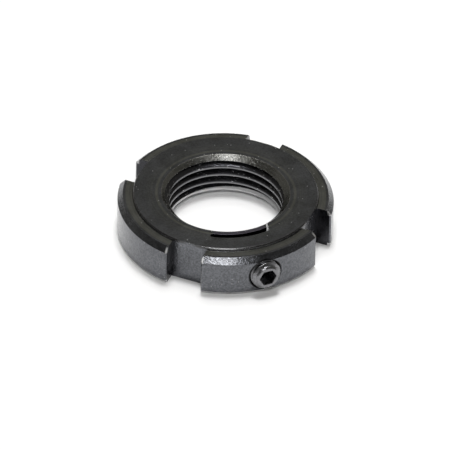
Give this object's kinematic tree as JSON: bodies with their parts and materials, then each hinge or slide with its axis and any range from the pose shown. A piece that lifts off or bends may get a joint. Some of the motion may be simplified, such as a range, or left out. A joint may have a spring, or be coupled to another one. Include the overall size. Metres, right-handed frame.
{
  "type": "bearing lock nut",
  "caption": "Round bearing lock nut with spanner slots, a raised bearing face and a radial socket set screw that presses a slit tongue against the shaft thread.",
  "frame": {"origin": "where the axis of the main thread meets the axis of the set screw", "axes": "+Z along the thread's axis, out of the raised bearing face; the set screw backs out towards -Y"},
  "size_m": [0.035, 0.0361, 0.0075],
  "materials": {
    "blackened_steel": "black oxide on turned steel, satin, with brighter edges",
    "screw_steel": "black oxide on alloy steel, satin"
  },
  "bodies": {
    "nut": {"nut_body": "blackened_steel"},
    "screw": {"set_screw": "screw_steel"}
  },
  "joints": [
    {"name": "set_screw_travel", "type": "slide", "parent": "nut", "child": "screw", "axis": [0, 1, 0], "range_m": [-0.0055, 0.00135]}
  ]
}
